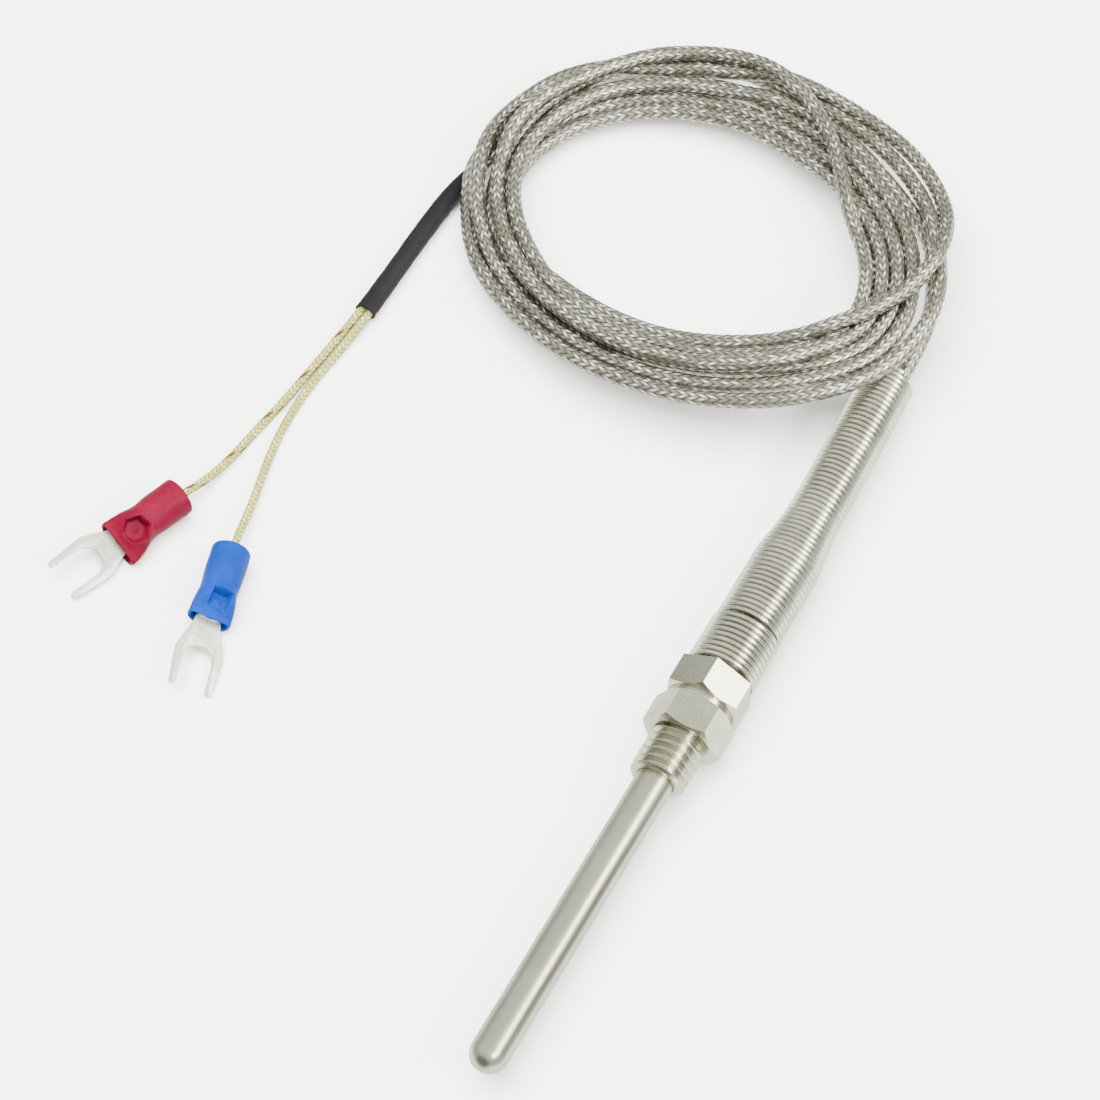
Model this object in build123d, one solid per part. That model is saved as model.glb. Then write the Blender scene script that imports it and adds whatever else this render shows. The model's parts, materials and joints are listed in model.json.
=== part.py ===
from build123d import *
from math import atan2, cos, degrees, pi, radians, sin, sqrt, tan
import os

# Spring-backed thermocouple probe with a sliding mounting bolt, a braided cable and two fork terminals.
# Row frame, millimetres: the probe's axis is the Y axis, with the closed tip at -Y and the spring at +Y,
# +Z is up as the object lies on a table, and the origin is on the axis in the plane of the bolt's seat.

# Probe sheath and what it holds
SHEATH_RADIUS = 2.65
SHEATH_WALL = 0.5
TIP_REACH = 54.7  # from the bolt's seat to the outside of the tip
SHEATH_REAR = 9.0
WIRE_RADIUS = 0.25
WIRE_OFFSET = 0.65  # each wire's distance from the probe's axis
JUNCTION_Y = -51.3
JUNCTION_RADIUS = 0.35
BEAD_RADIUS = 1.95
BEAD_HOLE_RADIUS = 0.35
BEAD_FRONT = -48.3
BEAD_LENGTH = 17.6
BEAD_GAP = 0.4

# Hexagons of the bolt and the collar
ACROSS_FLATS = 10.0
CORNER_RADIUS = ACROSS_FLATS / sqrt(3)
TURNED_RADIUS = 4.85  # radius left on a hexagon's face by its chamfer
FLOOR = -CORNER_RADIUS  # the collar lies on one of its corners

# Mounting bolt, M8 x 1.25, free to slide and turn on the sheath
THREAD_RADIUS = 3.95
THREAD_ROOT = 3.27
THREAD_PITCH = 1.25
THREAD_LENGTH = 6.7
THREAD_CHAMFER = 0.3
RELIEF_WIDTH = 0.35
RELIEF_RADIUS = 3.2
SEAT_INNER = 4.05
SEAT_RECESS = 0.1
BOLT_HEX = 5.2
BOLT_BORE = SHEATH_RADIUS + 0.07
BOLT_TURN = -23.6  # how far the bolt's hexagon is turned from the collar's, in degrees

# Spacer washer between the hexagons
WASHER_THICKNESS = 0.5
WASHER_RADIUS = 4.5
FACE_GAP = 0.02

# Hexagonal collar with the spigot that carries the spring
COLLAR_FRONT = BOLT_HEX + WASHER_THICKNESS
NECK_LENGTH = 0.4
NECK_RADIUS = 4.5
COLLAR_REAR = 10.9
SPIGOT_RADIUS = 4.1
SPIGOT_REAR = 18.4
CAVITY_RADIUS = 2.3
SPLICE_RADIUS = 0.58

# Strain-relief spring, close wound from one wire
SPRING_WIRE = 0.76
SPRING_START = COLLAR_REAR + SPRING_WIRE / 2 + 0.05
SPRING_PITCH = 0.80
SPIGOT_COIL = 4.59  # radius to the wire's centre on the spigot
BODY_COIL = 4.37
NECK_COIL = 3.44
END_COIL = 3.34
SPRING_SPANS = [
    # turns, pitch, radius at the start, radius at the end
    (8.8, 0.84, SPIGOT_COIL, SPIGOT_COIL),
    (1.0, 1.10, SPIGOT_COIL, BODY_COIL),
    (13.85, SPRING_PITCH, BODY_COIL, BODY_COIL),
    (9.5, SPRING_PITCH, BODY_COIL, NECK_COIL),
    (32.75, SPRING_PITCH, NECK_COIL, END_COIL),
]
CABLE_EXIT = 65.1  # where the cable leaves the spring

# Braided cable
CABLE_RADIUS = 1.15
CABLE_START = 15.25
# From the spring's end, under the raised side of the coil and up into it
EXIT_ROUTE = [
    (0.0, CABLE_EXIT, 0.0),
    (0.0, 70.8, 0.0),
    (-0.9, 77.0, 0.3),
    (-3.4, 83.0, 1.0),
    (-7.3, 88.6, 1.8),
    (-11.5, 93.0, 2.3),
]
# From the coil, tangentially, through the heat-shrink
SHRINK_RADIUS = 1.425
SHRINK_BORE = 1.225
TAIL_Z = FLOOR + SHRINK_RADIUS + 0.02
TAIL_ROUTE = [
    (-69.2, 74.2, TAIL_Z),
    (-70.75, 66.6, TAIL_Z),
    (-71.2, 58.6, TAIL_Z),
    (-71.3, 50.6, TAIL_Z),
    (-71.65, 43.0, TAIL_Z),
]
# Coil of the cable, an oval ring that leans on the spring's end
COIL_OUTER = (37.7, 30.6)
COIL_OUTER_CENTRE = (-34.2, 74.8)
COIL_OUTER_TURN = -10.6
COIL_INNER = (27.0, 19.1)
COIL_INNER_CENTRE = (-36.6, 73.6)
COIL_INNER_TURN = -1.4
COIL_HEIGHT = 4 * CABLE_RADIUS + 0.4
COIL_EDGE = 1.6
COIL_TILT = 8.0
COIL_RISES_TOWARDS = -23.9  # direction of the raised side, from +X

# Glass-braided leads
LEAD_RADIUS = 0.575
LEAD_SPACING = 0.62
LEAD_Z = FLOOR + LEAD_RADIUS + 0.01

# Insulated fork terminals for an M4 screw
TERMINAL_LENGTH = 21.2
SLEEVE_LENGTH = 11.2
SLEEVE_RADIUS = 2.75
SLEEVE_BORE = 2.05
SLEEVE_Z = FLOOR + SLEEVE_RADIUS
DENT_CENTRE = 8.9
DENT_SIZE = (2.8, 2.6, 0.5)
BARREL_RADIUS = 2.0
BARREL_BORE = 1.15
BARREL_START = 3.8
BARREL_END = 10.4
SHEET = 0.8
TONGUE_Z = -1.0  # middle of the sheet, below the barrel's axis
SLOT_RADIUS = 2.15
SLOT_CENTRE = 16.75
NECK_WIDTH = 2.8  # of the tongue inside the sleeve
SHOULDER_WIDTHS = (3.9, 6.3)  # of the tongue in front of the sleeve and beside the slot's round end
TINE_ROOT = 1.25
TINE_TIP = 0.9
TERMINAL_ROLL = -23.0  # each terminal lies rolled on its sleeve until one tine is close to the floor
LEAD_END = 4.5
RED_ENTRY = (-78.5, 3.9)
RED_HEADING = -110.0
RED_REACH = 0.0  # how much further out of its sleeve a fork is pushed
BLUE_ENTRY = (-67.85, -0.5)
BLUE_HEADING = -75.5
BLUE_REACH = 0.5


def on_axis(shape):
    """Turns a piece made along +Z so that it lies along the probe's axis, +Y."""
    return shape.rotate(Axis.X, -90)


def rod(radius, start, end, x=0.0):
    """Round bar parallel to the probe's axis, from y = start to y = end."""
    bar = Cylinder(radius, end - start, align=(Align.CENTER, Align.CENTER, Align.MIN))
    return on_axis(Pos(x, 0, start) * bar)


def pipe(radius, bore, start, end, x=0.0):
    return rod(radius, start, end, x) - rod(bore, start - 1, end + 1, x)


def ball(radius, y):
    return Pos(0, y, 0) * Sphere(radius)


def hexagon(start, end, turn, front_chamfer, rear_chamfer):
    """Hexagonal prism with one corner `turn` degrees from straight up, its corners turned off at the ends."""
    prism = extrude(RegularPolygon(CORNER_RADIUS, 6), end - start)
    prism = on_axis(Pos(0, 0, start) * prism.rotate(Axis.Z, 90 + turn))
    depth = CORNER_RADIUS - TURNED_RADIUS
    rise = depth * tan(radians(30))
    turned = Cylinder(CORNER_RADIUS + 0.01, end - start, align=(Align.CENTER, Align.CENTER, Align.MIN))
    rims = turned.edges().filter_by(GeomType.CIRCLE).sort_by(Axis.Z)
    if front_chamfer:
        turned = chamfer(rims[0], rise, depth)
        rims = turned.edges().filter_by(GeomType.CIRCLE).sort_by(Axis.Z)
    if rear_chamfer:
        turned = chamfer(rims[-1], rise, depth)
    return prism & on_axis(Pos(0, 0, start) * turned)


def probe_sheath():
    """Drawn tube with a domed, closed tip."""
    dome = -TIP_REACH + SHEATH_RADIUS
    outside = rod(SHEATH_RADIUS, dome, SHEATH_REAR) + ball(SHEATH_RADIUS, dome)
    bore = SHEATH_RADIUS - SHEATH_WALL
    inside = rod(bore, dome, SHEATH_REAR + 1) + ball(bore, dome)
    return outside - inside


def tip_filler():
    """Packed powder round the junction, with room for the junction and the two wires."""
    dome = -TIP_REACH + SHEATH_RADIUS
    radius = SHEATH_RADIUS - SHEATH_WALL - 0.05
    packing = rod(radius, dome, BEAD_FRONT - 0.1) + ball(radius, dome)
    packing -= junction_bead(0.05)
    for side in (-1, 1):
        packing -= rod(WIRE_RADIUS + 0.05, JUNCTION_Y, BEAD_FRONT, side * WIRE_OFFSET)
    return packing


def junction_bead(clearance=0.0):
    """Welded junction lying across the ends of the two wires."""
    radius = JUNCTION_RADIUS + clearance
    bar = Cylinder(radius, 2 * WIRE_OFFSET, rotation=(0, 90, 0))
    for side in (-1, 1):
        bar += Pos(side * WIRE_OFFSET, 0, 0) * Sphere(radius)
    return Pos(0, JUNCTION_Y, 0) * bar


def thermocouple_wire(side):
    return rod(WIRE_RADIUS, JUNCTION_Y + JUNCTION_RADIUS + 0.01, 11.4, side * WIRE_OFFSET)


def insulator_bead(index):
    """Two-hole ceramic bead, threaded on both wires."""
    start = BEAD_FRONT + index * (BEAD_LENGTH + BEAD_GAP)
    bead = rod(BEAD_RADIUS, start, start + BEAD_LENGTH)
    for side in (-1, 1):
        bead -= rod(BEAD_HOLE_RADIUS, start - 1, start + BEAD_LENGTH + 1, side * WIRE_OFFSET)
    return bead


def sheath_seal():
    """Resin plug in the open end of the sheath."""
    start = BEAD_FRONT + 3 * BEAD_LENGTH + 2 * BEAD_GAP + 0.3
    plug = rod(SHEATH_RADIUS - SHEATH_WALL - 0.02, start, SHEATH_REAR - 0.1)
    for side in (-1, 1):
        plug -= rod(WIRE_RADIUS + 0.03, start - 1, SHEATH_REAR, side * WIRE_OFFSET)
    return plug


def thread_groove():
    """The helical groove between the thread's crests."""
    rise = THREAD_LENGTH + 2 * THREAD_PITCH
    start = (0, 0, -THREAD_LENGTH - THREAD_PITCH)
    path = Edge.make_helix(THREAD_PITCH, rise, THREAD_RADIUS, start, (0, 0, 1))
    depth = THREAD_RADIUS - THREAD_ROOT
    root = THREAD_PITCH * 0.09
    mouth = THREAD_PITCH * 0.44
    over = 0.15
    lip = mouth + over * (mouth - root) / depth
    section = Polyline((-depth, -root), (over, -lip), (over, lip), (-depth, root), close=True)
    plane = Plane(origin=path @ 0, x_dir=(1, 0, 0), z_dir=path % 0)
    return on_axis(sweep(plane * make_face(section), path=path, is_frenet=True))


def mounting_bolt():
    """Hollow hexagon-head bolt: thread, relief groove, recessed bearing face, head and through bore."""
    shank = Cylinder(THREAD_RADIUS, THREAD_LENGTH, align=(Align.CENTER, Align.CENTER, Align.MAX))
    shank = on_axis(chamfer(shank.edges().filter_by(GeomType.CIRCLE).sort_by(Axis.Z)[0], THREAD_CHAMFER))
    shank -= thread_groove()
    shank -= pipe(THREAD_RADIUS + 1, RELIEF_RADIUS, -RELIEF_WIDTH, 0.0)
    head = hexagon(0.0, BOLT_HEX, BOLT_TURN, True, True)
    head -= rod(SEAT_INNER, -1.0, SEAT_RECESS)
    bolt = head + shank + rod(RELIEF_RADIUS, -THREAD_PITCH, 1.0)
    bolt -= rod(BOLT_BORE, -THREAD_LENGTH - 1, BOLT_HEX + 1)
    return bolt


def spacer_washer():
    return pipe(WASHER_RADIUS, BOLT_BORE, BOLT_HEX + FACE_GAP, COLLAR_FRONT - FACE_GAP)


def hex_collar():
    """Collar fixed to the sheath, with a neck in front and the hollow spigot behind."""
    collar = hexagon(COLLAR_FRONT + NECK_LENGTH, COLLAR_REAR, 0, True, False)
    collar += rod(NECK_RADIUS, COLLAR_FRONT, COLLAR_FRONT + 1)
    spigot = Cylinder(SPIGOT_RADIUS, SPIGOT_REAR - COLLAR_REAR, align=(Align.CENTER, Align.CENTER, Align.MIN))
    spigot = chamfer(spigot.edges().filter_by(GeomType.CIRCLE).sort_by(Axis.Z)[-1], 0.4)
    collar += on_axis(Pos(0, 0, COLLAR_REAR) * spigot)
    collar -= rod(SHEATH_RADIUS + 0.02, COLLAR_FRONT - 1, SHEATH_REAR + 0.1)
    collar -= rod(CAVITY_RADIUS, SHEATH_REAR, SPIGOT_REAR + 1)
    return collar


def splice(side):
    """Crimped tube that joins a thermocouple wire to a core of the cable."""
    return pipe(SPLICE_RADIUS, WIRE_RADIUS + 0.05, 9.6, 13.8, side * WIRE_OFFSET)


def cable_core(side):
    """Insulated core of the cable with its bare end in the splice."""
    core = rod(0.5, 14.0, CABLE_START - 0.05, side * WIRE_OFFSET)
    return core + rod(WIRE_RADIUS, 11.9, 14.1, side * WIRE_OFFSET)


def braid_ferrule():
    """Tube in the spigot that grips the cable's braid."""
    return pipe(CAVITY_RADIUS - 0.03, CABLE_RADIUS + 0.04, 14.6, SPIGOT_REAR)


def cable_in_spring():
    return rod(CABLE_RADIUS, CABLE_START, CABLE_EXIT)


def strain_relief_spring():
    """One wire wound along the spans: wide on the spigot, a gap, the body, a taper and the long neck."""
    edges = []
    turned = 0.0
    rise = SPRING_START
    for turns, pitch, start_radius, end_radius in SPRING_SPANS:
        height = turns * pitch
        flare = degrees(atan2(end_radius - start_radius, height))
        edge = Edge.make_helix(pitch, height, start_radius, (0, 0, 0), (0, 0, 1), flare)
        edge = edge.rotate(Axis.Z, turned).translate(Vector(0, 0, rise))
        end = edge @ 1
        turned = degrees(atan2(end.Y, end.X))
        rise = end.Z
        edges.append(edge)
    section = Plane(origin=edges[0] @ 0, z_dir=edges[0] % 0) * Circle(SPRING_WIRE / 2)
    return on_axis(sweep(section, path=Wire(edges), is_frenet=True, transition=Transition.TRANSFORMED))


def corner_radii(route):
    """The largest arc that each corner's two runs allow: 0.45 of the shorter run over tan(half the turn)."""
    points = [Vector(*p) for p in route]
    radii = []
    for before, corner, after in zip(points, points[1:], points[2:]):
        run_in = corner - before
        run_out = after - corner
        turn = radians(run_in.get_angle(run_out))
        radii.append(0.45 * min(run_in.length, run_out.length) / tan(turn / 2))
    return radii


def route_path(name, route):
    radii = corner_radii(route)
    print(name, "radii", [round(r, 1) for r in radii])
    return FilletPolyline(*route, radius=radii)


def tube(name, route, radius):
    """Round tube along straight runs joined by tangent arcs."""
    path = route_path(name, route)
    solid = sweep(Plane(origin=path @ 0, z_dir=path % 0) * Circle(radius), path=path)
    share = solid.volume / (pi * radius**2 * path.length)
    print(name, "length", round(path.length, 2), "volume share", round(share, 4))
    return solid


def midpoint(a, b):
    return tuple((p + q) / 2 for p, q in zip(a, b))


def part_path(route, first, last):
    """The stretch of a route's path between the middles of two of its runs, with the whole route's arcs."""
    radii = corner_radii(route)[first:last]
    points = [midpoint(route[first], route[first + 1])]
    points += route[first + 1:last + 1]
    points.append(midpoint(route[last], route[last + 1]))
    return FilletPolyline(*points, radius=radii)


def cable_exit_run():
    return tube("cable_exit_run", EXIT_ROUTE, CABLE_RADIUS)


def cable_tail():
    """From inside the coil to the middle of the heat-shrink, where the braid ends."""
    radii = corner_radii(TAIL_ROUTE)[:2]
    path = FilletPolyline(*TAIL_ROUTE[:3], midpoint(TAIL_ROUTE[2], TAIL_ROUTE[3]), radius=radii)
    print("cable_tail radii", [round(r, 1) for r in radii], "length", round(path.length, 2))
    return sweep(Plane(origin=path @ 0, z_dir=path % 0) * Circle(CABLE_RADIUS), path=path)


def heat_shrink():
    """Shrunk sleeve over the end of the braid and the start of the two leads."""
    radii = corner_radii(TAIL_ROUTE)
    start = midpoint(TAIL_ROUTE[0], TAIL_ROUTE[1])
    path = FilletPolyline(start, *TAIL_ROUTE[1:], radius=radii)
    plane = Plane(origin=path @ 0, z_dir=path % 0)
    print("heat_shrink length", round(path.length, 2))
    outside = sweep(plane * Circle(SHRINK_RADIUS), path=path)
    return outside - sweep(plane * Circle(SHRINK_BORE), path=path)


def cable_coil():
    """Outer shape of the coiled cable: an oval ring, raised on the side where the spring's end is under it."""
    outer = Pos(*COIL_OUTER_CENTRE) * Rot(0, 0, COIL_OUTER_TURN) * Ellipse(*COIL_OUTER)
    inner = Pos(*COIL_INNER_CENTRE) * Rot(0, 0, COIL_INNER_TURN) * Ellipse(*COIL_INNER)
    ring = extrude(outer - inner, COIL_HEIGHT)
    rims = ring.edges().group_by(Axis.Z)
    ring = fillet([*rims[0], *rims[-1]], COIL_EDGE)
    across = radians(COIL_RISES_TOWARDS - 90)
    hinge = Axis((*COIL_OUTER_CENTRE, 0), (cos(across), sin(across), 0))
    ring = ring.rotate(hinge, COIL_TILT)
    return Pos(0, 0, FLOOR - ring.bounding_box().min.Z) * ring


def lead_route(side, middle, entry, heading):
    """A lead from inside the heat-shrink, over the floor by the middle points, into its terminal."""
    run = Vector(*TAIL_ROUTE[4]) - Vector(*TAIL_ROUTE[3])
    across = Vector(-run.Y, run.X, 0).normalized() * LEAD_SPACING * side
    start = Vector(*TAIL_ROUTE[3]) + run * 0.25 + across
    leaving = Vector(*TAIL_ROUTE[4]) + across
    mouth = terminal_point(entry, heading, -0.3, -0.08)
    end = terminal_point(entry, heading, LEAD_END, 0)
    return [tuple(start), tuple(leaving), *middle, mouth, end]


def terminal_point(entry, heading, along, up):
    angle = radians(heading)
    return (entry[0] + along * cos(angle), entry[1] + along * sin(angle), SLEEVE_Z + up)


def lead_tracer_route():
    middle = [
        (-73.15, 37.0, LEAD_Z + 0.1),
        (-73.85, 31.0, LEAD_Z),
        (-74.5, 25.0, LEAD_Z),
        (-75.5, 19.0, LEAD_Z),
        (-76.2, 13.4, LEAD_Z + 0.1),
        (-77.0, 8.6, LEAD_Z + 0.9),
    ]
    return lead_route(-1, middle, RED_ENTRY, RED_HEADING)


def lead_plain_route():
    middle = [
        (-71.75, 37.0, LEAD_Z + 0.1),
        (-72.5, 31.0, LEAD_Z),
        (-72.75, 25.5, LEAD_Z),
        (-72.3, 19.5, LEAD_Z),
        (-71.2, 13.8, LEAD_Z + 0.05),
        (-69.9, 8.8, LEAD_Z + 0.4),
        (-69.0, 4.6, LEAD_Z + 1.3),
    ]
    return lead_route(1, middle, BLUE_ENTRY, BLUE_HEADING)


def in_place(shape, entry, heading):
    """Moves a terminal's piece, made along +X from the sleeve's cable end, to where the terminal lies."""
    return Pos(*entry, SLEEVE_Z) * Rot(0, 0, heading) * Rot(TERMINAL_ROLL, 0, 0) * shape


def cross_rod(radius, start, end):
    return Pos(start, 0, 0) * Rot(0, 90, 0) * Cylinder(
        radius, end - start, align=(Align.CENTER, Align.CENTER, Align.MIN)
    )


def fork_outline():
    """Plan of the tongue: neck, sloping shoulders, two tapered tines with round ends and the slot between them."""
    neck = NECK_WIDTH / 2
    front, beside = (width / 2 for width in SHOULDER_WIDTHS)
    tine_end = TERMINAL_LENGTH - TINE_TIP / 2
    half = [
        (9.8, neck), (SLEEVE_LENGTH + 0.1, neck), (SLEEVE_LENGTH + 0.2, front), (14.3, beside),
        (15.7, SLOT_RADIUS + TINE_ROOT), (tine_end, SLOT_RADIUS + TINE_TIP)
    ]
    other_half = [(x, -y) for x, y in reversed(half)]
    plan = make_face(Polyline(*half, *other_half, close=True))
    plan -= Pos(SLOT_CENTRE, 0) * Circle(SLOT_RADIUS)
    plan -= Pos(SLOT_CENTRE + TERMINAL_LENGTH / 2, 0) * Rectangle(TERMINAL_LENGTH, 2 * SLOT_RADIUS)
    for side in (-1, 1):
        plan += Pos(tine_end, side * (SLOT_RADIUS + TINE_TIP / 2)) * Circle(TINE_TIP / 2)
    return plan


def fork_terminal(entry, heading, reach):
    """Barrel that is crimped on the conductor, with the flat forked tongue in front of it."""
    tongue = Pos(0, 0, TONGUE_Z - SHEET / 2) * extrude(fork_outline(), SHEET)
    barrel = cross_rod(BARREL_RADIUS, BARREL_START, BARREL_END)
    barrel -= cross_rod(BARREL_BORE, BARREL_START - 1, BARREL_END + 1)
    return in_place(Pos(reach, 0, 0) * (barrel + tongue), entry, heading)


def terminal_sleeve(entry, heading):
    """Vinyl sleeve over the barrel, with the crimping tool's dent on top."""
    sleeve = cross_rod(SLEEVE_RADIUS, 0, SLEEVE_LENGTH) - cross_rod(SLEEVE_BORE, -1, SLEEVE_LENGTH + 1)
    dent = Pos(DENT_CENTRE, 0, SLEEVE_RADIUS) * Box(DENT_SIZE[0], DENT_SIZE[1], 2 * DENT_SIZE[2])
    return in_place(sleeve - dent, entry, heading)


def lead_conductor(entry, heading):
    """Bare end of a lead, inside the terminal's barrel."""
    return in_place(cross_rod(0.45, LEAD_END + 0.05, 9.4), entry, heading)


def build():
    """Every node's name and its shape."""
    nodes = {
        "probe_sheath": probe_sheath(),
        "tip_filler": tip_filler(),
        "junction_bead": junction_bead(),
        "wire_positive": thermocouple_wire(1),
        "wire_negative": thermocouple_wire(-1),
        "sheath_seal": sheath_seal(),
        "mounting_bolt": mounting_bolt(),
        "spacer_washer": spacer_washer(),
        "hex_collar": hex_collar(),
        "splice_positive": splice(1),
        "splice_negative": splice(-1),
        "core_positive": cable_core(1),
        "core_negative": cable_core(-1),
        "braid_ferrule": braid_ferrule(),
        "cable_in_spring": cable_in_spring(),
        "strain_relief_spring": strain_relief_spring(),
        "cable_exit_run": cable_exit_run(),
        "cable_coil": cable_coil(),
        "cable_tail": cable_tail(),
        "heat_shrink": heat_shrink(),
        "lead_tracer": tube("lead_tracer", lead_tracer_route(), LEAD_RADIUS),
        "lead_plain": tube("lead_plain", lead_plain_route(), LEAD_RADIUS),
    }
    for index, place in enumerate(("front", "middle", "rear")):
        nodes["insulator_" + place] = insulator_bead(index)
    terminals = [("red", RED_ENTRY, RED_HEADING, RED_REACH), ("blue", BLUE_ENTRY, BLUE_HEADING, BLUE_REACH)]
    for colour, entry, heading, reach in terminals:
        nodes["fork_" + colour] = fork_terminal(entry, heading, reach)
        nodes["sleeve_" + colour] = terminal_sleeve(entry, heading)
        nodes["conductor_" + colour] = lead_conductor(entry, heading)
    return nodes


os.makedirs("parts", exist_ok=True)
for name, shape in build().items():
    export_step(shape, "parts/" + name + ".step")
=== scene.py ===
import json
import math

import bmesh
import bpy
import numpy as np
from mathutils import Matrix, Vector


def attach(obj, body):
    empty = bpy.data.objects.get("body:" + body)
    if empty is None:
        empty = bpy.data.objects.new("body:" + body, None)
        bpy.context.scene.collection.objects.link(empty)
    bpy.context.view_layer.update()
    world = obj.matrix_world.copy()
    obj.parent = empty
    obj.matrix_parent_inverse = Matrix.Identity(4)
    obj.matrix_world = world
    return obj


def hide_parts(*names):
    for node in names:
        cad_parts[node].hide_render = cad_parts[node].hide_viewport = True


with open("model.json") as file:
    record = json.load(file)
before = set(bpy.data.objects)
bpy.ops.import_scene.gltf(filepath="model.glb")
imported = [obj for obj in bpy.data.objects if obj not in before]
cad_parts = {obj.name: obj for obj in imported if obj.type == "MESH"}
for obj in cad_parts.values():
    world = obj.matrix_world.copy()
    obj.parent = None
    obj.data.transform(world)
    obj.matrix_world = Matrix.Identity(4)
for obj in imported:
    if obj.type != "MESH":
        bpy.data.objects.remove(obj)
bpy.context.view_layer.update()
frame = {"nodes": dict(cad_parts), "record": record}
MM = 0.001

# ---------------------------------------------------------------- sizes shared with the CAD, in millimetres
FLOOR = -5.0 / math.cos(math.radians(30))
CABLE_D = 2.3
CABLE_R = CABLE_D / 2
SPRING_END = 65.1
SHRINK_R = 1.425
TAIL_Z = FLOOR + SHRINK_R + 0.02
LEAD_R = 0.575
LEAD_Z = FLOOR + LEAD_R + 0.01
SLEEVE_Z = FLOOR + 2.75

# ---------------------------------------------------------------- camera
CAMERA_AT = Vector((161.3, -335.5, 637.8)) * MM
LOOKING = Vector((-0.25263, 0.46937, -0.84609))
CAMERA_RIGHT = Vector((0.88056, 0.47394, 0.0))
LENS = 183.4
SENSOR = 36.0


def make_camera():
    data = bpy.data.cameras.new("camera")
    data.lens = LENS
    data.sensor_width = SENSOR
    data.clip_start = 0.01
    data.clip_end = 10.0
    camera = bpy.data.objects.new("camera", data)
    bpy.context.scene.collection.objects.link(camera)
    right = CAMERA_RIGHT.normalized()
    forward = LOOKING.normalized()
    up = right.cross(forward)
    turn = Matrix((right, up, -forward)).transposed().to_4x4()
    camera.matrix_world = Matrix.Translation(CAMERA_AT) @ turn
    bpy.context.scene.camera = camera


make_camera()


# ---------------------------------------------------------------- paths of the cable and the leads
def catmull(points, per_run):
    """A smooth line through rows of numbers. per_run is the steps in a run, or a list with one for each."""
    rows = np.array(points, float)
    rows = np.vstack([2 * rows[0] - rows[1], rows, 2 * rows[-1] - rows[-2]])
    line = []
    for i in range(1, len(rows) - 2):
        steps = per_run if isinstance(per_run, int) else per_run[i - 1]
        a, b, c, d = rows[i - 1:i + 3]
        for k in range(steps):
            t = k / steps
            curve = 2 * b + (c - a) * t + (2 * a - 5 * b + 4 * c - d) * t * t
            line.append(0.5 * (curve + (3 * b - a - 3 * c + d) * t ** 3))
    line.append(rows[-2])
    return np.array(line)


# The coil: an oval bundle on a plane that rises towards the spring's end. An oval is its centre, its half
# sizes and its turn in degrees.
COIL_CENTRE = (-35.4, 74.3)
OUTER_OVAL = ((-34.3, 75.15), (37.6, 30.25), -10.6)
INNER_OVAL = ((-36.7, 73.95), (26.9, 18.75), -1.4)
COIL_TILT = math.radians(8.0)
COIL_RISES_TOWARDS = math.radians(-23.9)
LAYER = 2.1  # height of one layer of strands
FIRST_STATION = 28.0
STATION_STEP = 22.5
STEPS_PER_STATION = 8
# Each turn passes 16 stations. At a station it has a lane, from 0 at the inside of the bundle to 1 at its
# outside, and a layer, from 0 on the floor plane upwards.
TURNS = [
    [(0.55, 0), (0.55, 0), (0.50, 0.4), (0.48, 1), (0.45, 1), (0.25, 1), (-0.08, 1), (-0.12, 1),
     (0.05, 1), (0.19, 1), (0.22, 1), (0.22, 1), (0.22, 0.7), (0.30, 0.1), (-0.02, 0.1)],
    [(-0.22, 0.6), (0.02, 1.3), (0.50, 1.8), (0.88, 1.6), (1.06, 1.0), (0.80, 1.5), (0.64, 1.1), (0.38, 1),
     (0.26, 1), (0.42, 1), (0.47, 1), (0.47, 1), (0.46, 0.9), (0.42, 0.6), (0.45, 0), (0.12, 0)],
    [(0.02, 0), (0.02, 0), (0.04, 0.3), (0.10, 0.8), (0.14, 1), (0.10, 1), (0.02, 0.8), (0.05, 0),
     (0.0, 0), (-0.05, 0), (-0.08, 0.1), (-0.08, 0.3), (-0.08, 0.6), (-0.08, 1.0), (0.15, 1.4), (0.62, 1.4)],
    [(1.02, 0.7), (1.10, 0.4), (0.98, 0.4), (0.92, 0.6), (0.82, 1.0), (0.93, 0.9), (1.02, 1), (1.05, 1),
     (0.79, 1.1), (0.75, 0.8), (0.74, 0.6), (0.73, 0.6), (0.71, 0.5), (0.67, 0.3), (0.70, 0), (0.42, 0)],
    [(0.36, 0.1), (0.38, 0), (0.38, 0), (0.55, 0), (0.66, 0), (0.66, 0), (0.82, 0), (0.92, 0.1),
     (1.12, 0), (1.10, 0), (1.02, 0), (1.0, 0), (0.98, 0), (0.97, 0), (0.98, 0), (0.90, 0)],
    [(0.76, 0.1), (0.80, 0), (0.80, 0), (0.90, 0), (0.98, 0), (0.92, 0), (0.55, 0), (0.50, 0),
     (0.45, 0), (0.42, 0), (0.42, 0), (0.40, 0), (0.40, 0), (0.40, 0), (0.52, 0), (0.26, 0)],
    [(0.19, 0), (0.20, 0), (0.22, 0), (0.28, 0), (0.34, 0), (0.34, 0), (0.42, -0.1), (0.8, -0.3)],
]
# From the spring's end, under the raised side of the coil
EXIT_ROUTE = [
    (0.0, SPRING_END, 0.0),
    (0.0, 70.8, 0.0),
    (-0.9, 77.0, 0.3),
    (-3.4, 83.0, 1.0),
    (-7.3, 88.6, 1.8),
]
TAIL_ROUTE = [
    (-70.75, 66.6, TAIL_Z),
    (-71.2, 58.6, TAIL_Z),
    (-71.3, 50.6, TAIL_Z),
    (-71.65, 43.0, TAIL_Z),
]
TAIL_END = (-71.25, 54.6, TAIL_Z)


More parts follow.
